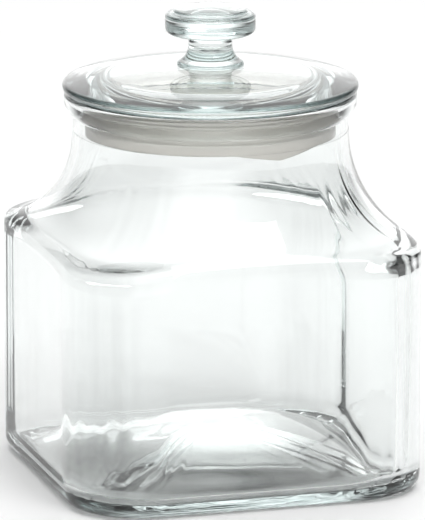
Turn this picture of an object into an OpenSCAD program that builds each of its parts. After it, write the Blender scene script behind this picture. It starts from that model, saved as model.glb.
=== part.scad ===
// Square glass canister with a domed glass lid and a flexible ribbed seal.
// The jar is one moulded glass piece, the lid with its knob and plug is another,
// and the seal sits round the plug and grips the bore of the neck.
// Origin: centre of the resting face. +Z is up, X and Y run square to the flat sides.

/* [Jar body] */
// Width across two flat sides
body_w = 165; // [140:0.5:200]
// Radius of the four upright corners, outside
corner_r = 33; // [24:0.5:45]
// Height of the straight sides above the table
body_h = 107.5; // [80:0.5:150]
// Radius of the heel, where the sides turn under
heel_r = 7; // [4:0.5:9]
// Glass thickness of the flat sides
wall = 4.2; // [3:0.1:6]
// Radius of the upright corners inside, larger than outside because the corners are thick
inner_corner_r = 38; // [30:0.5:46]
// Radius where the sides turn into the floor, inside
inner_heel_r = 8; // [5:0.5:14]
// Glass thickness at the edge of the floor
floor_t = 5; // [3.5:0.5:10]
// Height of the floor's dome inside, above the floor's edge
floor_rise = 17.5; // [8:0.5:24]
// Width of the foot that the jar rests on, round the hollow under the base
foot_w = 6.5; // [4:0.5:14]
// Height of the hollow under the base
punt_rise = 14; // [5:0.5:18]

/* [Shoulder, neck and lip] */
// Height of the shoulder, from the straight sides to the neck
shoulder_h = 51; // [35:0.5:75]
// Radius of the shoulder's edge above the middle of a flat side
knee_r_side = 11; // [6:0.5:16]
// Radius of the shoulder's edge above an upright corner
knee_r_corner = 5; // [3:0.5:9]
// Radius of the shoulder's edge, inside
inner_knee_r = 14; // [6:0.5:18]
// Outside diameter of the neck
neck_d = 124.4; // [105:0.2:136]
// Glass thickness of the neck
neck_wall = 4; // [3:0.1:6]
// Height of the neck, from the shoulder to the top of the lip
neck_h = 17; // [14:0.5:30]
// How far the rolled lip stands out of the neck
lip_reach = 3.9; // [3:0.1:6]
// Height of the lip's widest line below its top
lip_drop = 3.8; // [3:0.1:6]
// Radius under the lip
lip_under_r = 7.5; // [6:0.1:10]
// Radius of the lip's upper edges
lip_edge_r = 1.8; // [1:0.1:2.4]

/* [Lid] */
// How far the lid's edge stands out past the lip
lid_overhang = 0.7; // [0:0.1:2]
// Thickness of the lid's rounded edge
lid_edge_t = 4.5; // [3.6:0.1:7]
// Height of the domed top above the underside of the rim
lid_rise = 12.5; // [9:0.1:20]
// Glass thickness of the dome
lid_t = 5; // [3.5:0.1:7]
// Depth of the plug below the rim
plug_h = 15.5; // [13:0.5:24]
// Glass thickness of the plug's wall
plug_wall = 6.5; // [4.5:0.1:9]
// Radius inside, between the plug's wall and the dome
plug_fillet_r = 5; // [2:0.5:8]

/* [Knob] */
// Diameter of the stem
stem_d = 19.8; // [14:0.2:26]
// Diameter of the stem's foot
foot_d = 30.6; // [27:0.2:36]
// Radius of the stem's flare
flare_r = 8; // [6.5:0.5:12]
// Height of the stem above the dome, up to the knob
stem_h = 12.4; // [11:0.1:20]
// Diameter of the knob
knob_d = 40.8; // [32:0.2:50]
// Thickness of the knob without its pad
knob_t = 10.4; // [8:0.1:16]
// Radius under the knob's edge
knob_under_r = 3; // [1.5:0.1:4]
// Radius of the knob's upper edge
knob_edge_r = 1.8; // [1:0.1:3]
// Diameter of the raised pad on the knob
pad_d = 33.4; // [24:0.2:36]
// Height of the raised pad
pad_h = 2.5; // [1.5:0.1:4]

/* [Seal] */
// Height of the seal
seal_h = 18.2; // [16.5:0.1:26]
// Thickness of the seal's sleeve
seal_t = 1.4; // [1:0.1:2]
// Number of ribs round the seal
rib_count = 3; // [2:1:4]
// Distance between two ribs
rib_pitch = 4.1; // [3:0.1:5]
// Thickness of a rib where it leaves the sleeve
rib_root_t = 1.5; // [1:0.1:2]
// Thickness of a rib at its tip
rib_tip_t = 0.8; // [0.5:0.1:1]
// Depth of the groove in the plug that holds the seal
groove_depth = 1.2; // [0.8:0.1:1.8]
// Height of the groove in the plug that holds the seal
groove_h = 3; // [2.4:0.1:4]
// Distance from the rim down to the middle of the groove
groove_drop = 8.9; // [7:0.1:10]
// Drop of the pointed pull tab below the seal's edge
tab_drop = 3.8; // [2:0.1:6]
// Width of the pull tab
tab_w = 43; // [20:1:60]
// Direction of the pull tab round the neck
tab_angle = -74; // [-180:1:180]

/* [Fits] */
// Gap between the lid's rim and the lip
rim_gap = 0.4; // [0.3:0.1:1]
// Radial gap between the seal's ribs and the neck
bore_clearance = 0.3; // [0.2:0.05:0.5]
// Radial gap between the seal and the plug
plug_clearance = 0.3; // [0.2:0.05:0.5]

/* [Hidden] */
$fn = 96;
arc_step = 6;            // turn between two points of a drawn arc, degrees
corner_steps = 10;       // facets round one upright corner
side_steps = 8;          // facets along one flat side
heel_steps = 5;          // rows of facets round the heel
dome_steps = 9;          // rows from the middle of the base to the edge of its dome
dome_power = 2.3;        // how much flatter the domes are in the middle than at their edge
knee_steps = 5;          // rows round the shoulder's edge
cove_steps = 12;         // rows up the hollow part of the shoulder
seam_ledge = 0.25;       // step left by the mould where the neck's tooling meets the body's
floor_flat = 2;          // width of the flat round the floor's dome
overlap = 3;             // depth to which one form runs into the next

neck_r = neck_d / 2;
bore_r = neck_r - neck_wall;
neck_z = body_h + shoulder_h;
lip_r = neck_r + lip_reach;
lip_z = neck_z + neck_h;
half_w = body_w / 2;

rim_z = lip_z + rim_gap;
lid_r = lip_r + lid_overhang;
edge_r = lid_edge_t / 2;
edge_x = lid_r - edge_r;
edge_z = rim_z + edge_r;
apex_z = rim_z + lid_rise;
apex_h = apex_z - edge_z;
dome_r = (edge_x * edge_x + apex_h * apex_h - edge_r * edge_r) / (2 * (apex_h - edge_r));
dome_z = apex_z - dome_r;
under_r = dome_r - lid_t;

seal_ro = bore_r - bore_clearance;
rib_reach = 1.3;                                   // how far a rib stands out of the sleeve
sleeve_ro = seal_ro - rib_reach;
sleeve_ri = sleeve_ro - seal_t;
plug_ro = sleeve_ri - plug_clearance;
plug_ri = plug_ro - plug_wall;
plug_z = rim_z - plug_h;
plug_end_r = 2;                                    // rounding of the plug's free end
groove_z = rim_z - groove_drop;
seal_top = rim_z - plug_clearance;
seal_low = seal_top - seal_h;
top_rib_z = seal_top - rib_root_t / 2;

knob_z = apex_z + stem_h;
knob_r = knob_d / 2;
stem_r = stem_d / 2;
foot_r = foot_d / 2;
pad_r = pad_d / 2;

// Points of an arc about [x, z], from angle a0 to a1, the way that angles run
function arc(x, z, r, a0, a1) =
    let (n = max(2, ceil(abs(a1 - a0) / arc_step)))
    [for (i = [0 : n]) let (a = a0 + (a1 - a0) * i / n) [x + r * cos(a), z + r * sin(a)]];

// Outline of a square with round corners, always with the same number of points
function quarter(half, r) = concat(
    [for (i = [0 : side_steps / 2 - 1]) [half, (half - r) * i * 2 / side_steps]],
    [for (i = [0 : corner_steps - 1])
        let (a = 90 * i / corner_steps) [half - r + r * cos(a), half - r + r * sin(a)]],
    [for (i = [0 : side_steps / 2 - 1]) [(half - r) * (1 - i * 2 / side_steps), half]]);
function turned(p, a) = [p[0] * cos(a) - p[1] * sin(a), p[0] * sin(a) + p[1] * cos(a)];
function plan(half, r) = [for (k = [0 : 3], p = quarter(half, r)) turned(p, 90 * k)];
ring_points = 4 * (side_steps + corner_steps);

function ring(points, z) = [for (p = points) [p[0], p[1], z]];

// A pushed-up base: round in the middle, square at its edge, which is at height z
function dome_rings(half, corner, rise, z) = [for (k = [1 : dome_steps])
    let (t = k / dome_steps)
    [for (p = plan(half, corner))
        let (d = norm(p), r = half * t + (d - half) * t * t)
        [p[0] / d * r, p[1] / d * r, z + rise * (1 - pow(t, dome_power))]]];

// A heel: the outline draws in as it turns down to height z
function heel_rings(half, corner, r, z) = [for (i = [0 : heel_steps])
    let (a = 90 * i / heel_steps, inset = r * (1 - sin(a)))
    ring(plan(half - inset, corner - inset), z + r * (1 - cos(a)))];

// Distance from the axis to a square outline, in the direction of p
function outline_reach(p, half, corner) =
    let (c = max(abs(p[0]), abs(p[1])) / norm(p),
         s = min(abs(p[0]), abs(p[1])) / norm(p),
         flat = half - corner,
         b = flat * (c + s))
    half * s <= flat * c ? half / c : b + sqrt(b * b - 2 * flat * flat + corner * corner);

// Share of the way from the middle of a flat side to the corner, by distance from the axis
function cornerness(d, half, r) = (d - half) / ((half - r) * sqrt(2) + r - half);

// The shoulder's line in one direction: it leaves the side upright, turns over an edge of
// radius knee, and sweeps up in a hollow arc about [cove_x, neck_z]. u runs 0 to 1 and 1 to 2.
function shoulder_point(side_r, knee, cove_x, cove_r, u) =
    let (knee_x = side_r - knee,
         reach = cove_r + knee,
         turn = acos(max(0, cove_x - knee_x) / reach),
         knee_z = neck_z - reach * sin(turn))
    u <= 1 ? [knee_x + knee * cos(u * turn), knee_z + knee * sin(u * turn)]
           : [cove_x - cove_r * cos((2 - u) * turn), neck_z - cove_r * sin((2 - u) * turn)];

// Rows of the shoulder above an outline. The inside's rows share the arc of the outside's and
// run depth within it, so the glass of the hollow is as thick as the neck's at any size.
function shoulder_rings(base, depth) =
    let (to_r = neck_r + seam_ledge,
         steps = concat([for (i = [0 : knee_steps]) i / knee_steps],
                        [for (i = [1 : cove_steps]) 1 + i / cove_steps]))
    [for (u = steps) [for (p = base)
        let (d = norm(p),
             out = outline_reach(p, half_w, corner_r),
             run = out - to_r,
             both = run < shoulder_h ? (run * run + shoulder_h * shoulder_h) / (2 * run)
                                     : shoulder_h,
             knee = min(knee_r_side + (knee_r_corner - knee_r_side)
                            * cornerness(out, half_w, corner_r), 0.8 * both),
             cove = both - knee,
             q = shoulder_point(d, depth > 0 ? max(inner_knee_r, knee - depth) : knee,
                 to_r + cove, cove + depth, u))
        [p[0] / d * q[0], p[1] / d * q[0], q[1]]]];

// A closed solid through a stack of flat-ended rings, lowest first
module loft(rings) {
    n = ring_points;
    last = len(rings) - 1;
    low_centre = (last + 1) * n;
    high_centre = low_centre + 1;
    sides = [for (j = [0 : last - 1], i = [0 : n - 1])
        let (a = j * n + i, b = j * n + (i + 1) % n) each [[a, a + n, b], [b, a + n, b + n]]];
    low = [for (i = [0 : n - 1]) [low_centre, i, (i + 1) % n]];
    high = [for (i = [0 : n - 1]) [high_centre, last * n + (i + 1) % n, last * n + i]];
    polyhedron(
        concat([for (r = rings) each r], [[0, 0, rings[0][0][2]], [0, 0, rings[last][0][2]]]),
        concat(sides, low, high));
}

module body_outside() {
    punt_half = half_w - heel_r - foot_w;
    loft(concat(
        dome_rings(punt_half, corner_r - heel_r, punt_rise, 0),
        heel_rings(half_w, corner_r, heel_r, 0),
        shoulder_rings(plan(half_w, corner_r), 0)));
}

module body_inside() {
    inner_half = half_w - wall;
    dome_half = inner_half - inner_heel_r - floor_flat;
    loft(concat(
        dome_rings(dome_half, inner_corner_r - inner_heel_r, floor_rise, floor_t),
        heel_rings(inner_half, inner_corner_r, inner_heel_r, floor_t),
        shoulder_rings(plan(inner_half, inner_corner_r), neck_wall)));
}

// The neck and its rolled lip, solid right through
module neck_outside() {
    under_x = lip_r - lip_under_r;
    wide_z = lip_z - lip_drop;
    meet = acos((neck_r - under_x) / lip_under_r);
    rotate_extrude() polygon(concat(
        [[0, neck_z - overlap], [neck_r, neck_z - overlap]],
        arc(under_x, wide_z, lip_under_r, -meet, 0),
        arc(lip_r - lip_edge_r, lip_z - lip_edge_r, lip_edge_r, 0, 90),
        [[0, lip_z]]));
}

// The bore of the neck, flared at the mouth
module neck_bore() {
    flare_x = bore_r + lip_edge_r;
    rotate_extrude() polygon(concat(
        [[0, neck_z - overlap], [bore_r, neck_z - overlap]],
        arc(flare_x, lip_z - lip_edge_r, lip_edge_r, 180, 90),
        [[flare_x, lip_z + overlap], [0, lip_z + overlap]]));
}

module jar() {
    color([0.86, 0.91, 0.90, 0.35])
    difference() {
        union() {
            body_outside();
            neck_outside();
        }
        body_inside();
        neck_bore();
    }
}

// Outline of the lid's outside, from the axis at the knob's top out and down to the rim
function knob_outline() =
    let (pad_edge = 1.6,
         top_z = knob_z + knob_t,
         pad_fall = pad_h / 4,
         inner_share = 0.4,
         draft = 0.2,
         slope = 1)
    concat(
        [[0, top_z + pad_h],
         [pad_r * inner_share, top_z + pad_h - pad_fall * inner_share * inner_share]],
        arc(pad_r - pad_edge, top_z + pad_h - pad_fall - pad_edge, pad_edge, 80, 0),
        [[pad_r + draft, top_z]],
        arc(knob_r - knob_edge_r, top_z - knob_edge_r, knob_edge_r, 90, 0),
        arc(knob_r - knob_under_r, knob_z + slope + knob_under_r, knob_under_r, 0, -80),
        [[stem_r + slope, knob_z]],
        [[stem_r, knob_z - slope]]);

function stem_outline() =
    let (flare_x = stem_r + flare_r,
         foot_edge = 0.7,
         flare_z = dome_top(foot_r) + foot_edge + flare_r,
         end = acos((flare_x - foot_r + foot_edge) / flare_r))
    concat(
        arc(flare_x, flare_z, flare_r, 180, 180 + end),
        [[foot_r, dome_top(foot_r) + foot_edge]],
        [[foot_r, dome_top(foot_r)]]);

function dome_top(x) = dome_z + sqrt(dome_r * dome_r - x * x);

function rim_outline() =
    let (start = acos(foot_r / dome_r), end = atan2(edge_z - dome_z, edge_x))
    concat(
        [for (i = [1 : 11]) let (a = start + (end - start) * i / 12)
            [dome_r * cos(a), dome_z + dome_r * sin(a)]],
        arc(edge_x, edge_z, edge_r, end, -90));

function plug_outline() =
    concat(
        [[plug_ro, rim_z]],
        [[plug_ro, groove_z + groove_h / 2],
         [plug_ro - groove_depth, groove_z + (groove_h - groove_depth) / 2],
         [plug_ro - groove_depth, groove_z - (groove_h - groove_depth) / 2],
         [plug_ro, groove_z - groove_h / 2]],
        arc(plug_ro - plug_end_r, plug_z + plug_end_r, plug_end_r, 0, -90),
        arc(plug_ri + plug_end_r, plug_z + plug_end_r, plug_end_r, -90, -180));

function ceiling_outline() =
    let (fx = plug_ri - plug_fillet_r,
         fz = dome_z + sqrt(pow(under_r - plug_fillet_r, 2) - fx * fx),
         start = atan2(fz - dome_z, fx))
    concat(
        arc(fx, fz, plug_fillet_r, 0, start),
        [for (i = [1 : 8]) let (a = start + (90 - start) * i / 8)
            [under_r * cos(a), dome_z + under_r * sin(a)]]);

module lid() {
    color([0.86, 0.91, 0.90, 0.35])
    rotate_extrude() polygon(concat(
        knob_outline(), stem_outline(), rim_outline(), plug_outline(), ceiling_outline()));
}

// One rib's outline at height z, as it stands out of the sleeve
function rib_outline(z) = [
    [sleeve_ro, z + rib_root_t / 2],
    [seal_ro, z + rib_tip_t / 2],
    [seal_ro, z - rib_tip_t / 2],
    [sleeve_ro, z - rib_root_t / 2]];

module seal_ring() {
    bead = groove_depth - plug_clearance * 1.5;
    bead_h = groove_h - 2 * plug_clearance;
    bead_face = bead_h / 2 - groove_depth / 2;
    rotate_extrude() polygon(concat(
        [[sleeve_ri, seal_top]],
        [for (i = [0 : rib_count - 1]) each rib_outline(top_rib_z - i * rib_pitch)],
        [[sleeve_ro, seal_low - tab_drop], [sleeve_ri, seal_low - tab_drop]],
        [[sleeve_ri, groove_z - bead_h / 2],
         [sleeve_ri - bead, groove_z - bead_face],
         [sleeve_ri - bead, groove_z + bead_face],
         [sleeve_ri, groove_z + bead_h / 2]]));
}

// All that hangs below the seal's edge, apart from the pull tab
module seal_trim() {
    tip = seal_low - tab_drop * 0.98;     // just short of the blank's end, so the tip is cut clean
    above = seal_low + 1;
    difference() {
        translate([0, 0, seal_low - 2 * tab_drop]) cylinder(r = bore_r, h = 2 * tab_drop);
        rotate([0, 0, tab_angle]) rotate([90, 0, 90]) linear_extrude(bore_r * 2)
            polygon([[-tab_w / 2, above], [-tab_w / 2, seal_low], [0, tip],
                     [tab_w / 2, seal_low], [tab_w / 2, above]]);
    }
}

module lid_seal() {
    color([0.78, 0.76, 0.72, 0.8])
    difference() {
        seal_ring();
        seal_trim();
    }
}

jar();
lid();
lid_seal();
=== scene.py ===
import math

import bpy
import numpy as np
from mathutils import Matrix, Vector


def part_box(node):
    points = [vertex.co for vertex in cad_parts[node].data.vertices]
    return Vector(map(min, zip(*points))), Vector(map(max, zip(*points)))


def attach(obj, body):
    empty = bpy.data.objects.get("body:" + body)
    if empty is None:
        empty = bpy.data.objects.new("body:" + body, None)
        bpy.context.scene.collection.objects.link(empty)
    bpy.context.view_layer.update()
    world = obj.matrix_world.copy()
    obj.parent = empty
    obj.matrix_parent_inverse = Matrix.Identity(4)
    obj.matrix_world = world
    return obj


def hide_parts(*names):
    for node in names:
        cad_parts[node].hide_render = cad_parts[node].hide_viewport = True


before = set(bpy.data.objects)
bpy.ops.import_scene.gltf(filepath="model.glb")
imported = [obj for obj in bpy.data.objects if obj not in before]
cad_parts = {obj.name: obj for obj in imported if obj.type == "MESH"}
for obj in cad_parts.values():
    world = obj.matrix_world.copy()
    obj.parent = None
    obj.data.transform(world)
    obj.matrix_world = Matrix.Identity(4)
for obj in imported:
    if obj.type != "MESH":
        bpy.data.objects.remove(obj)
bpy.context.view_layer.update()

# Sizes of the real thing, in metres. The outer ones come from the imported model.
_, jar_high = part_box("jar")
lid_low, lid_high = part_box("lid")
_, seal_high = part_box("lid_seal")

HALF = jar_high.x                    # middle of the jar to a flat side
CORNER = 0.033
BODY_TOP = 0.1075                    # where the sides end and the shoulder begins
HEEL = 0.007
WALL = 0.0042
INNER_CORNER = 0.038
INNER_HEEL = 0.008
FLOOR = 0.005                        # glass under the floor's edge
FLOOR_RISE = 0.0175
FLOOR_FLAT = 0.002
FOOT_W = 0.0065
PUNT_RISE = 0.014
DOME_POWER = 2.3                     # how much flatter the domes are in the middle
SHOULDER_TOP = 0.1585
KNEE_SIDE, KNEE_CORNER, KNEE_INSIDE = 0.011, 0.005, 0.014
NECK_WALL = 0.004
NECK_R = 0.0622
BORE_R = 0.0582
LIP_TOP = jar_high.z
LIP_R = 0.0661
LIP_DROP = 0.0038
LIP_UNDER = 0.0075
LIP_EDGE = 0.0018
LEDGE = 0.00025

RIM = LIP_TOP + 0.0004
LID_R = lid_high.x
EDGE_R = 0.00225
APEX = RIM + 0.0125
LID_T = 0.005
PLUG_R = 0.0549
PLUG_WALL = 0.0065
PLUG_END = lid_low.z
GROOVE_Z = RIM - 0.0089
KNOB_Z = APEX + 0.0124
KNOB_R = 0.0204
PAD_R = 0.0167
PAD_H = 0.0025
STEM_R = 0.0099
FOOT_R = 0.0153

SEAL_R = seal_high.x
SLEEVE_R = SEAL_R - 0.0013
SLEEVE_IN = SLEEVE_R - 0.0014
SEAL_TOP = seal_high.z
SEAL_LOW = SEAL_TOP - 0.0182
TAB_DROP = 0.0037
TAB_HALF = 0.0215
TAB_ANGLE = math.radians(-74)

HALF_SIDE_STEPS, CORNER_STEPS = 20, 32
QUARTER = 2 * HALF_SIDE_STEPS + CORNER_STEPS
AROUND = 4 * QUARTER
SPIN_STEPS = 192
FOOT_ROWS = 4
FOOT_RIB = 0.0005


def deselect():
    if bpy.context.object and bpy.context.object.mode == "EDIT":
        bpy.ops.object.mode_set(mode="OBJECT")
    bpy.ops.object.select_all(action="DESELECT")


# ---- Lines that the pieces are drawn from ----

def arc(x, z, r, start, end, step=5):
    """Points of an arc about (x, z), from start to end in degrees."""
    count = max(2, math.ceil(abs(end - start) / step))
    turns = [math.radians(start + (end - start) * i / count) for i in range(count + 1)]
    return [(x + r * math.cos(t), z + r * math.sin(t)) for t in turns]


def outline(i, half, corner):
    """Point i of a square with round corners, counted from the middle of a side."""
    quarter, k = divmod(i % AROUND, QUARTER)
    flat = half - corner
    if k < HALF_SIDE_STEPS:
        x, y = half, flat * k / HALF_SIDE_STEPS
    elif k < HALF_SIDE_STEPS + CORNER_STEPS:
        turn = math.radians(90 * (k - HALF_SIDE_STEPS) / CORNER_STEPS)
        x, y = flat + corner * math.cos(turn), flat + corner * math.sin(turn)
    else:
        x, y = flat * (QUARTER - k) / HALF_SIDE_STEPS, half
    for _ in range(quarter):
        x, y = -y, x
    return Vector((x, y))


def level(half, corner, z):
    """A flat row along a square outline."""
    return lambda i: Vector((*outline(i, half, corner), z))


def hoop(radius, z, inner_share=0.0):
    """A round row, its points in the directions of the outer or the inner square's."""
    def point(i):
        outer = outline(i, HALF, CORNER).normalized()
        inner = outline(i, HALF - WALL, INNER_CORNER).normalized()
        way = outer.lerp(inner, inner_share).normalized()
        return Vector((way.x * radius, way.y * radius, z))
    return point


def between(first, last, count):
    """Rows that run from one row to another, without the first and with the last."""
    def row(share):
        return lambda i: first(i).lerp(last(i), share)
    return [row((k + 1) / count) for k in range(count)]


def outline_reach(way, half, corner):
    """Distance from the axis to a square outline, in a direction."""
    along, aside = max(abs(way.x), abs(way.y)), min(abs(way.x), abs(way.y))
    flat = half - corner
    if half * aside <= flat * along:
        return half / along
    b = flat * (along + aside)
    return b + math.sqrt(b * b - 2 * flat * flat + corner * corner)


def shoulder_point(side_r, knee, cove_x, cove_r, u):
    """The shoulder's line: over an edge of radius knee, then up a hollow arc to the neck."""
    knee_x, reach = side_r - knee, cove_r + knee
    turn = math.acos(max(0.0, cove_x - knee_x) / reach)
    knee_z = SHOULDER_TOP - reach * math.sin(turn)
    if u <= 1:
        return knee_x + knee * math.cos(u * turn), knee_z + knee * math.sin(u * turn)
    back = (2 - u) * turn
    return cove_x - cove_r * math.cos(back), SHOULDER_TOP - cove_r * math.sin(back)


def shoulder_rows(half, corner, depth, knee_count, cove_count):
    """From the flat sides over the shoulder's edge and up its hollow to the neck. The inside
    shares the outside's hollow arc and runs depth within it."""
    far = (HALF - CORNER) * math.sqrt(2) + CORNER
    to_r, rise = NECK_R + LEDGE, SHOULDER_TOP - BODY_TOP

    def row(u):
        def point(i):
            flat = outline(i, half, corner)
            out = outline_reach(flat.normalized(), HALF, CORNER)
            run = out - to_r
            both = (run * run + rise * rise) / (2 * run) if run < rise else rise
            knee = KNEE_SIDE + (KNEE_CORNER - KNEE_SIDE) * (out - HALF) / (far - HALF)
            cove = both - knee
            edge = max(KNEE_INSIDE, knee - depth) if depth > 0 else knee
            r, z = shoulder_point(flat.length, edge, to_r + cove, cove + depth, u)
            return Vector((*(flat.normalized() * r), z))
        return point
    knee_rows = [row(k / knee_count) for k in range(knee_count + 1)]
    return knee_rows + [row(1 + k / cove_count) for k in range(1, cove_count + 1)]


def heel_rows(half, corner, r, z, count):
    """From the foot's edge round the heel to the upright side."""
    def row(turn):
        inset = r * (1 - math.sin(turn))
        return level(half - inset, corner - inset, z + r * (1 - math.cos(turn)))
    return [row(math.pi / 2 * k / count) for k in range(count + 1)]


def dome_rows(half, corner, rise, z, count):
    """Rows down a pushed-up base, round in its middle and square at its edge."""
    def row(share):
        def point(i):
            flat = outline(i, half, corner)
            r = half * share + (flat.length - half) * share * share
            return Vector((*(flat.normalized() * r), z + rise * (1 - share ** DOME_POWER)))
        return point
    return [row(k / count) for k in range(1, count + 1)]


# ---- The jar ----

def ribbed(row):
    """The foot's short ribs: every other point of a row along the sides is lifted a little."""
    def point(i):
        k = i % QUARTER
        round_corner = HALF_SIDE_STEPS <= k <= HALF_SIDE_STEPS + CORNER_STEPS
        lifted = k % 8 == 4 if round_corner else k % 2 == 1
        return row(i) + Vector((0, 0, FOOT_RIB if lifted else 0.0))
    return point


def jar_outside_rows():
    hollow = dome_rows(HALF - HEEL - FOOT_W, CORNER - HEEL, PUNT_RISE, 0.0, 18)
    heel = heel_rows(HALF, CORNER, HEEL, 0.0, 9)
    shoulder = shoulder_rows(HALF, CORNER, 0.0, 9, 22)
    sides = between(heel[-1], shoulder[0], 14)
    foot = [ribbed(row) for row in between(hollow[-1], heel[0], FOOT_ROWS)[:-1]]
    return hollow + foot + heel + sides + shoulder[1:]


def jar_neck_rows():
    under_x = LIP_R - LIP_UNDER
    wide_z = LIP_TOP - LIP_DROP
    meet = math.degrees(math.acos((NECK_R - under_x) / LIP_UNDER))
    outside = arc(under_x, wide_z, LIP_UNDER, -meet, 0)
    over = arc(LIP_R - LIP_EDGE, LIP_TOP - LIP_EDGE, LIP_EDGE, 0, 90, 10)
    mouth = arc(BORE_R + LIP_EDGE, LIP_TOP - LIP_EDGE, LIP_EDGE, 90, 180, 10)
    rows = [hoop(NECK_R, SHOULDER_TOP)]
    rows += between(rows[0], hoop(*outside[0]), 2)
    rows += [hoop(*p) for p in outside[1:] + over + mouth]
    steps = 6
    for k in range(1, steps + 1):
        share = k / steps
        rows.append(hoop(BORE_R, mouth[-1][1] + (SHOULDER_TOP - mouth[-1][1]) * share, share))
    return rows


def jar_inside_rows():
    half = HALF - WALL
    shoulder = shoulder_rows(half, INNER_CORNER, NECK_WALL, 10, 20)[::-1]
    heel = heel_rows(half, INNER_CORNER, INNER_HEEL, FLOOR, 9)[::-1]
    sides = between(shoulder[-1], heel[0], 22)
    dome = dome_rows(half - INNER_HEEL - FLOOR_FLAT, INNER_CORNER - INNER_HEEL, FLOOR_RISE,
                     FLOOR, 18)[::-1]
    return shoulder + sides + heel[1:] + dome


def pressed_unevenness(p):
    """How far the inside of the blown glass strays from its true surface at p."""
    angle = math.atan2(p.y, p.x)
    to_corner = max(0.0, -math.cos(4 * angle)) ** 2
    slow = math.sin(5 * angle + 0.6) + 0.6 * math.sin(11 * angle + 1.9 + 14 * p.z)
    quick = math.sin(46 * angle + 9 * p.z) + 0.7 * math.sin(71 * angle + 2.3 - 21 * p.z)
    return 0.00004 * slow + 0.00014 * to_corner * quick


def ring_tower(name, count):
    """A tube of count rings, drawn up ring by ring a unit at a time, closed at both ends."""
    deselect()
    bpy.ops.mesh.primitive_circle_add(vertices=AROUND, radius=1.0, fill_type="NOTHING")
    piece = bpy.context.object
    piece.name = piece.data.name = name
    bpy.ops.object.mode_set(mode="EDIT")
    bpy.ops.mesh.select_all(action="SELECT")
    bpy.ops.mesh.edge_face_add()
    bpy.ops.mesh.poke()
    bpy.ops.mesh.select_all(action="SELECT")
    bpy.ops.mesh.region_to_loop()
    for _ in range(count - 1):
        bpy.ops.mesh.extrude_region_move(TRANSFORM_OT_translate={"value": (0, 0, 1)})
    bpy.ops.mesh.edge_face_add()
    bpy.ops.mesh.poke()
    bpy.ops.object.mode_set(mode="OBJECT")
    return piece


def place_rings(piece, rows, low_pole, high_pole, stray):
    """Moves each ring of a tower to its row, and the ends' middles to the poles."""
    points = np.array([v.co for v in piece.data.vertices])
    for n, (x, y, z) in enumerate(points):
        row = round(z)
        if math.hypot(x, y) < 0.5:
            points[n] = (0, 0, low_pole if row == 0 else high_pole)
            continue
        i = round(math.atan2(y, x) / (2 * math.pi) * AROUND)
        p = rows[row](i)
        points[n] = p * (1 - stray(p, row) / max(p.xy.length, 0.01))
        points[n][2] = p.z
    piece.data.vertices.foreach_set("co", points.ravel())
    piece.data.update()


def close_up(piece, smooth_angle):
    """Merges doubles, turns all faces outward and shades smooth up to an angle."""
    deselect()
    piece.select_set(True)
    bpy.context.view_layer.objects.active = piece
    bpy.ops.object.mode_set(mode="EDIT")
    bpy.ops.mesh.select_all(action="SELECT")
    bpy.ops.mesh.remove_doubles(threshold=0.000002)
    bpy.ops.mesh.normals_make_consistent(inside=False)
    bpy.ops.object.mode_set(mode="OBJECT")
    bpy.ops.object.shade_smooth_by_angle(angle=math.radians(smooth_angle))


def make_jar():
    outside, neck, inside = jar_outside_rows(), jar_neck_rows(), jar_inside_rows()
    rows = outside + neck + inside
    first_inside = len(outside) + len(neck)

    def stray(p, row):
        if row < first_inside:
            return 0.0
        return pressed_unevenness(p) * min(1.0, (row - first_inside) / 12)
    jar = ring_tower("glass_jar", len(rows))
    place_rings(jar, rows, PUNT_RISE, FLOOR + FLOOR_RISE, stray)
    close_up(jar, 40)
    return jar


# ---- Turned pieces ----

def turned(name, line, closed):
    """A piece drawn as a line from point to point and spun once round the axis."""
    deselect()
    bpy.ops.mesh.primitive_circle_add(vertices=3, radius=0.001, fill_type="NOTHING",
                                      location=(line[0][0], 0, line[0][1]))
    piece = bpy.context.object
    piece.name = piece.data.name = name
    bpy.ops.object.transform_apply(location=True)
    bpy.ops.object.mode_set(mode="EDIT")
    bpy.ops.mesh.select_all(action="SELECT")
    bpy.ops.mesh.merge(type="CENTER")
    ends = line[1:] + line[:1] if closed else line[1:]
    for (x0, z0), (x1, z1) in zip(line, ends):
        bpy.ops.mesh.extrude_region_move(
            TRANSFORM_OT_translate={"value": (x1 - x0, 0, z1 - z0)})
    bpy.ops.mesh.select_all(action="SELECT")
    bpy.ops.mesh.remove_doubles(threshold=0.000002)
    bpy.ops.mesh.select_all(action="SELECT")
    bpy.ops.mesh.spin(steps=SPIN_STEPS, angle=2 * math.pi, center=(0, 0, 0), axis=(0, 0, 1))
    bpy.ops.object.mode_set(mode="OBJECT")
    return piece


def dome_ball():
    """Radius of the lid's dome, and the height of its middle."""
    reach = LID_R - EDGE_R
    rise = APEX - RIM - EDGE_R
    radius = (reach * reach + rise * rise - EDGE_R * EDGE_R) / (2 * (rise - EDGE_R))
    return radius, APEX - radius


def knob_line():
    top = lid_high.z - PAD_H
    fall, pad_edge, slope = PAD_H / 4, 0.0016, 0.001
    edge, under = 0.0018, 0.003
    shares = [0, 0.15, 0.3, 0.45, 0.6, 0.75]
    return (
        [(PAD_R * s, top + PAD_H - fall * s * s) for s in shares]
        + arc(PAD_R - pad_edge, top + PAD_H - fall - pad_edge, pad_edge, 80, 0, 10)
        + [(PAD_R + 0.0002, top + 0.0003), (PAD_R + 0.0006, top)]
        + arc(KNOB_R - edge, top - edge, edge, 90, 0, 9)
        + arc(KNOB_R - under, KNOB_Z + slope + under, under, 0, -80, 9)
        + [(STEM_R + slope * 1.6, KNOB_Z + 0.0002), (STEM_R + slope * 0.6, KNOB_Z - slope * 0.4),
           (STEM_R, KNOB_Z - slope * 1.4)])


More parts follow.
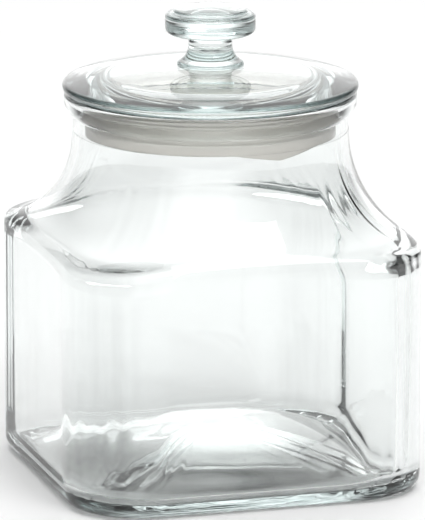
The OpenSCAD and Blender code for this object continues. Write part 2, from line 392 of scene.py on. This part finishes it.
def stem_line():
    ball, middle = dome_ball()
    flare, foot_edge = 0.008, 0.0007
    foot_z = middle + math.sqrt(ball * ball - FOOT_R * FOOT_R)
    flare_x = STEM_R + flare
    end = math.degrees(math.acos((flare_x - FOOT_R + foot_edge) / flare))
    return (arc(flare_x, foot_z + foot_edge + flare, flare, 180, 180 + end, 4)
            + arc(FOOT_R - 0.0004, foot_z + foot_edge - 0.0004, 0.0004, 90, 0, 30)
            + [(FOOT_R, foot_z)])


def rim_line():
    ball, middle = dome_ball()
    start = math.degrees(math.acos(FOOT_R / ball))
    end = math.degrees(math.atan2(RIM + EDGE_R - middle, LID_R - EDGE_R))
    return (arc(0, middle, ball, start, end, 0.5)[1:-1]
            + arc(LID_R - EDGE_R, RIM + EDGE_R, EDGE_R, end, -90, 8))


def plug_line():
    depth, half_h, end_r = 0.0012, 0.0015, 0.002
    inner = PLUG_R - PLUG_WALL
    return (
        [(PLUG_R + 0.0006, RIM), (PLUG_R, RIM - 0.0006), (PLUG_R, GROOVE_Z + half_h),
         (PLUG_R - depth, GROOVE_Z + half_h - depth / 2),
         (PLUG_R - depth, GROOVE_Z - half_h + depth / 2), (PLUG_R, GROOVE_Z - half_h)]
        + arc(PLUG_R - end_r, PLUG_END + end_r, end_r, 0, -90, 9)
        + arc(inner + end_r, PLUG_END + end_r, end_r, -90, -180, 9))


def ceiling_line():
    ball, middle = dome_ball()
    under, fillet = ball - LID_T, 0.005
    x = PLUG_R - PLUG_WALL - fillet
    z = middle + math.sqrt((under - fillet) ** 2 - x * x)
    start = math.degrees(math.atan2(z - middle, x))
    curve = arc(0, middle, under, start, 90, 0.6)[1:]
    curve[-1] = (0.0, curve[-1][1])
    return arc(x, z, fillet, 0, start, 6) + curve


def make_lid():
    line = knob_line() + stem_line() + rim_line() + plug_line() + ceiling_line()
    lid = turned("glass_lid", line, closed=False)
    close_up(lid, 40)
    return lid


def softened(corners, radius, steps=3):
    """The closed line through these corners, each rounded a little."""
    line = []
    for k, corner in enumerate(corners):
        here = Vector(corner)
        back = Vector(corners[k - 1]) - here
        on = Vector(corners[(k + 1) % len(corners)]) - here
        reach = min(radius, back.length * 0.45, on.length * 0.45)
        start, end = here + back.normalized() * reach, here + on.normalized() * reach
        for s in range(steps + 1):
            t = s / steps
            p = start * (1 - t) ** 2 + here * 2 * t * (1 - t) + end * t * t
            line.append((p.x, p.y))
    return line


def seal_corners():
    root, tip, pitch = 0.0015, 0.0008, 0.0041
    bead, bead_h, bead_face = 0.00075, 0.0024, 0.0006
    first = SEAL_TOP - root / 2
    corners = [(SLEEVE_IN, SEAL_TOP)]
    for k in range(3):
        z = first - k * pitch
        corners += [(SLEEVE_R, z + root / 2), (SEAL_R, z + tip / 2), (SEAL_R, z - tip / 2),
                    (SLEEVE_R, z - root / 2)]
    skirt = first - 2 * pitch - root / 2
    corners += [(SLEEVE_R, skirt + (SEAL_LOW - skirt) * s) for s in (0.25, 0.5, 0.75, 1.0)]
    inside = GROOVE_Z - bead_h / 2
    corners += [(SLEEVE_IN, SEAL_LOW + (inside - SEAL_LOW) * s) for s in (0, 0.3, 0.6, 1.0)]
    corners += [(SLEEVE_IN - bead, GROOVE_Z - bead_face), (SLEEVE_IN - bead, GROOVE_Z + bead_face),
                (SLEEVE_IN, GROOVE_Z + bead_h / 2)]
    return corners


def draw_down_tab(seal):
    """Draws the seal's lower edge down to the pointed pull tab."""
    room = 0.006
    for v in seal.data.vertices:
        angle = math.atan2(v.co.y, v.co.x) - TAB_ANGLE
        offset = v.co.xy.length * math.sin(angle)
        if math.cos(angle) < 0 or abs(offset) > TAB_HALF:
            continue
        drop = TAB_DROP * (1 - abs(offset) / TAB_HALF)
        share = 1 - min(1.0, (v.co.z - SEAL_LOW) / room)
        v.co.z -= drop * share


def make_seal():
    seal = turned("ribbed_seal", softened(seal_corners(), 0.0003), closed=True)
    close_up(seal, 50)
    draw_down_tab(seal)
    return seal


# ---- Finishes ----

class Signal:
    """One output of a finish's nodes. Arithmetic on it makes further nodes."""

    def __init__(self, finish, socket):
        self.finish, self.socket = finish, socket

    def math(self, operation, *values):
        sockets = dict(enumerate(values))
        return self.finish.node("ShaderNodeMath", {"operation": operation}, sockets)

    def __add__(self, other): return self.math("ADD", self, other)
    def __radd__(self, other): return self.math("ADD", other, self)
    def __sub__(self, other): return self.math("SUBTRACT", self, other)
    def __rsub__(self, other): return self.math("SUBTRACT", other, self)
    def __mul__(self, other): return self.math("MULTIPLY", self, other)
    def __rmul__(self, other): return self.math("MULTIPLY", other, self)
    def __truediv__(self, other): return self.math("DIVIDE", self, other)
    def __rtruediv__(self, other): return self.math("DIVIDE", other, self)
    def __pow__(self, other): return self.math("POWER", self, other)
    def __neg__(self): return self.math("MULTIPLY", self, -1.0)
    def __abs__(self): return self.math("ABSOLUTE", self)

    def at_least(self, low): return self.math("MAXIMUM", self, low)
    def at_most(self, high): return self.math("MINIMUM", self, high)


class Finish:
    """A material put together from nodes round one shader."""

    def __init__(self, name):
        self.material = bpy.data.materials.new(name)
        self.material.use_nodes = True
        self.tree = self.material.node_tree
        self.shader = self.tree.nodes["Principled BSDF"]
        self.output = self.tree.nodes["Material Output"]

    def node(self, kind, settings=None, sockets=None, output=0):
        made = self.tree.nodes.new(kind)
        for key, value in (settings or {}).items():
            setattr(made, key, value)
        for key, value in (sockets or {}).items():
            self.feed(made.inputs[key], value)
        return Signal(self, made.outputs[output])

    def feed(self, socket, value):
        if isinstance(value, Signal):
            self.tree.links.new(value.socket, socket)
        else:
            socket.default_value = value

    def surface(self, **values):
        for key, value in values.items():
            self.feed(self.shader.inputs[key.replace("_", " ")], value)

    def place(self, scale=(1, 1, 1)):
        spot = self.node("ShaderNodeTexCoord", output="Object")
        return self.node("ShaderNodeMapping", {}, {"Vector": spot, "Scale": scale})

    def axes(self):
        """Object coordinates as three numbers."""
        spot = self.node("ShaderNodeTexCoord", output="Object")
        split = self.node("ShaderNodeSeparateXYZ", {}, {"Vector": spot})
        return [Signal(self, split.socket.node.outputs[k]) for k in range(3)]

    def noise(self, scale, detail, stretch=(1, 1, 1), roughness=0.5):
        return self.node("ShaderNodeTexNoise", {}, {
            "Vector": self.place(stretch), "Scale": scale, "Detail": detail,
            "Roughness": roughness})

    def absorb(self, colour, density):
        """The tint that the glass gains with depth."""
        volume = self.node("ShaderNodeVolumeAbsorption", {}, {"Color": colour, "Density": density})
        self.tree.links.new(volume.socket, self.output.inputs["Volume"])


GLASS_IOR = 1.52
GLASS_TINT = (0.60, 0.69, 0.685, 1)
CORNER_SHADE_START, CORNER_FADE = 0.0045, 0.0005     # |x y| where the painted shade down the corners begins, in m2
SIDES_TOP, SIDES_FADE = 0.112, 0.02
BASE_SHADE_RING, BASE_SHADE_RING_HALF = 0.053, 0.026       # the ring of painted shade in the base, and half its width
BASE_TOP, BASE_FADE = 0.026, 0.006


def glass(name, tint_density, clearness, painted_shade=None):
    """Clear soda-lime glass, fire polished. The last argument gives, where it is given, the share
    of painted shade that darkens the glass's colour there."""
    f = Finish(name)
    mottle = f.noise(26, 2)
    drawn = f.noise(9, 3, (14, 14, 0.9))
    # Where a shade function is given, painted shade darkens the glass's colour; else a faint
    # random tone.
    shade = clearness - painted_shade(f, drawn) if painted_shade else clearness + mottle * 0.01
    colour = f.node("ShaderNodeCombineColor", {}, {0: shade * 0.985, 1: shade, 2: shade * 0.995})
    height = mottle * 0.25 + drawn * 0.3
    bump = f.node("ShaderNodeBump", {}, {"Strength": 0.35, "Distance": 0.00006, "Height": height})
    f.surface(Base_Color=colour, Roughness=mottle * 0.012, Normal=bump)
    f.surface(IOR=GLASS_IOR, Transmission_Weight=1.0)
    f.absorb(GLASS_TINT, tint_density)
    return f.material


def jar_painted_shade(f, drawn):
    """Painted shade in the glass's colour: faint darker streaks down the corners and a darker,
    mottled ring in the base.
    """
    x, y, z = f.axes()
    # Painted shade down the corners' upright sides, broken into streaks.
    corner = ((abs(x) * abs(y) - CORNER_SHADE_START) / CORNER_FADE).at_least(0.0).at_most(1.0)
    sides = ((SIDES_TOP - z) / SIDES_FADE).at_least(0.0).at_most(1.0)
    shade_streak = (drawn * 3.2 - 1.05).at_least(0.12).at_most(1.0)
    # Painted shade in a mottled ring in the low base.
    radius = (x * x + y * y) ** 0.5
    ring = (1.0 - abs(radius - BASE_SHADE_RING) / BASE_SHADE_RING_HALF).at_least(0.0)
    low = ((BASE_TOP - z) / BASE_FADE).at_least(0.0).at_most(1.0)
    swirl = f.noise(22, 2) * 1.5
    return corner * sides * shade_streak * 0.15 + ring * low * swirl * 0.65


def seal_plastic():
    """Soft translucent warm-grey plastic with a satin skin."""
    f = Finish("warm_grey_seal")
    cloud = f.noise(30, 3)
    grain = f.noise(900, 2)
    colour = f.node("ShaderNodeMix", {"data_type": "RGBA"}, {
        "Factor": cloud, 6: (0.79, 0.75, 0.70, 1), 7: (0.88, 0.84, 0.79, 1)}, output=2)
    bump = f.node("ShaderNodeBump", {}, {"Strength": 0.3, "Distance": 0.00004, "Height": grain})
    f.surface(Base_Color=colour, Roughness=0.38 + cloud * 0.15, Normal=bump)
    f.surface(IOR=1.45, Transmission_Weight=0.85)
    return f.material


def floor_paint():
    f = Finish("pale_floor")
    mottle = f.noise(3, 2)
    colour = f.node("ShaderNodeMix", {"data_type": "RGBA"}, {
        "Factor": mottle, 6: (0.93, 0.93, 0.93, 1), 7: (0.95, 0.95, 0.95, 1)}, output=2)
    f.surface(Base_Color=colour, Roughness=0.9 + mottle * 0.05)
    f.surface(Specular_IOR_Level=0.1)
    return f.material


def card_paint(middle, half_width, height, depth):
    """Dark grey that fades out toward the card's ends and top."""
    f = Finish("dark_card")
    mottle = f.noise(5, 2)
    x, y, z = f.axes()
    turn, edge = math.radians(middle), math.cos(math.radians(half_width))
    toward = (x * math.cos(turn) + y * math.sin(turn)) / (x * x + y * y) ** 0.5
    across = ((toward - edge) / (1.0 - edge)).at_least(0.0).at_most(1.0)
    upward = (1.0 - z / height).at_least(0.0)
    f.surface(Base_Color=(0.03, 0.032, 0.032, 1), Roughness=0.85 + mottle * 0.1)
    f.surface(Alpha=across ** 0.45 * upward ** 0.45 * depth, Specular_IOR_Level=0.0)
    return f.material


def shade_paint(inner, outer, depth):
    """Dark grey that is deepest half way between two radii."""
    f = Finish("base_shade")
    mottle = f.noise(5, 2)
    x, y, _z = f.axes()
    radius = (x * x + y * y) ** 0.5
    off = abs(radius - (inner + outer) / 2) / ((outer - inner) / 2)
    f.surface(Base_Color=(0.05, 0.052, 0.052, 1), Roughness=0.85 + mottle * 0.1)
    f.surface(Alpha=(1.0 - off).at_least(0.0) ** 0.6 * depth, Specular_IOR_Level=0.0)
    return f.material


def dress(piece, material):
    piece.data.materials.clear()
    piece.data.materials.append(material)


# ---- The studio ----

VIEW_TURN = math.radians(-16.69)
# name, direction of the middle and half the width in degrees, depth of the dark
CARDS = (("card_left", 137, 43, 1.0), ("card_right", 10, 43, 1.0),
         ("card_left_front", 216, 30, 0.45), ("card_right_front", 304, 26, 0.4))


def make_floor():
    deselect()
    bpy.ops.mesh.primitive_plane_add(size=24, location=(0, 0, -0.0003))
    floor = bpy.context.object
    floor.name = "studio_floor"
    dress(floor, floor_paint())


def soft_light(name, azimuth, height, distance, size, power):
    """A square lamp aimed at the jar, in the direction azimuth from it."""
    deselect()
    turn, lift = math.radians(azimuth), math.radians(height)
    away = Vector((math.cos(turn) * math.cos(lift), math.sin(turn) * math.cos(lift),
                   math.sin(lift)))
    bpy.ops.object.light_add(type="AREA", location=Vector((0, 0, 0.1)) + away * distance)
    lamp = bpy.context.object
    lamp.name = name
    lamp.rotation_euler = away.to_track_quat("Z", "Y").to_euler()
    lamp.data.shape = "SQUARE"
    lamp.data.size = size
    lamp.data.energy = power


def glass_only(card):
    """Staged, and seen only in the glass, where it darkens a few reflections slightly."""
    card.visible_camera = card.visible_diffuse = card.visible_shadow = False


def dark_card(name, middle, half_width, depth):
    """A dark card that lies on the floor and then stands curved round the jar."""
    deselect()
    near, far, height, steps = 0.125, 0.26, 0.42, 24
    start = math.radians(middle - half_width)
    bpy.ops.mesh.primitive_plane_add(size=1)
    card = bpy.context.object
    card.name = card.data.name = name
    bpy.ops.object.mode_set(mode="EDIT")
    bpy.ops.mesh.select_all(action="SELECT")
    bpy.ops.mesh.merge(type="CENTER")
    bpy.ops.transform.translate(value=(near * math.cos(start), near * math.sin(start), 0.001))
    run = far - near
    bpy.ops.mesh.extrude_region_move(
        TRANSFORM_OT_translate={"value": (run * math.cos(start), run * math.sin(start), 0)})
    bpy.ops.mesh.extrude_region_move(TRANSFORM_OT_translate={"value": (0, 0, height)})
    bpy.ops.mesh.select_all(action="SELECT")
    bpy.ops.mesh.spin(steps=steps, angle=math.radians(2 * half_width), center=(0, 0, 0),
                      axis=(0, 0, 1))
    bpy.ops.object.mode_set(mode="OBJECT")
    dress(card, card_paint(middle, half_width, height, depth))
    glass_only(card)


def base_shade():
    """The dark under a jar's base, as a card that lies in the hollow there."""
    deselect()
    bpy.ops.mesh.primitive_circle_add(vertices=96, radius=0.068, fill_type="NGON",
                                      location=(0, 0, 0.0002))
    card = bpy.context.object
    card.name = card.data.name = "base_shade"
    dress(card, shade_paint(0.016, 0.075, 0.55))
    glass_only(card)


class Sky(Finish):
    """The light all round, put together from nodes like a finish."""

    def __init__(self, name):
        world = bpy.data.worlds.new(name)
        bpy.context.scene.world = world
        world.use_nodes = True
        self.tree = world.node_tree
        self.shader = self.tree.nodes["Background"]


def fill_light(bright, side_fall):
    """White all round, falling off smoothly to the left and right of the camera's view."""
    f = Sky("white_studio")
    way = f.node("ShaderNodeTexCoord", output="Generated")
    side = (math.cos(VIEW_TURN), math.sin(VIEW_TURN), 0)
    across = f.node("ShaderNodeVectorMath", {"operation": "DOT_PRODUCT"}, {0: way, 1: side},
                    output="Value")
    start, width = 0.28, 0.4
    share = ((abs(across) - start) / width).at_least(0.0).at_most(1.0)
    f.surface(Color=(1, 1, 1, 1), Strength=bright - share * side_fall)


def place_camera():
    turn, tilt, distance = VIEW_TURN, math.radians(13.44), 2.9
    aim = Vector((0.00091, -0.00027, 0.0968))
    away = Vector((math.sin(turn) * math.cos(tilt), -math.cos(turn) * math.cos(tilt),
                   math.sin(tilt)))
    deselect()
    bpy.ops.object.camera_add(location=aim + away * distance)
    camera = bpy.context.object
    camera.rotation_euler = away.to_track_quat("Z", "Y").to_euler()
    camera.data.lens = 442.5
    camera.data.clip_start, camera.data.clip_end = 0.1, 100
    bpy.context.scene.camera = camera


def set_stage():
    place_camera()
    make_floor()
    fill_light(1.72, 1.68)
    soft_light("front_softbox", -73, 50, 1.6, 0.7, 6)
    for card in CARDS:
        dark_card(*card)
    base_shade()
    scene = bpy.context.scene
    scene.view_settings.view_transform = "Standard"
    scene.cycles.max_bounces = 24
    scene.cycles.transmission_bounces = 24
    scene.cycles.glossy_bounces = 12


def build():
    jar, lid, seal = make_jar(), make_lid(), make_seal()
    for piece, node, body, slot in ((jar, "jar", "canister", "jar_glass"),
                                    (lid, "lid", "cover", "lid_glass"),
                                    (seal, "lid_seal", "seal", "seal")):
        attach(piece, body)
        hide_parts(node)
    # The jar's glass colour carries painted shade down its corners and in its base.
    dress(jar, glass("clear_jar_glass", 7.0, 0.985, jar_painted_shade))
    dress(lid, glass("clear_lid_glass", 18.0, 0.945))
    dress(seal, seal_plastic())


set_stage()
build()
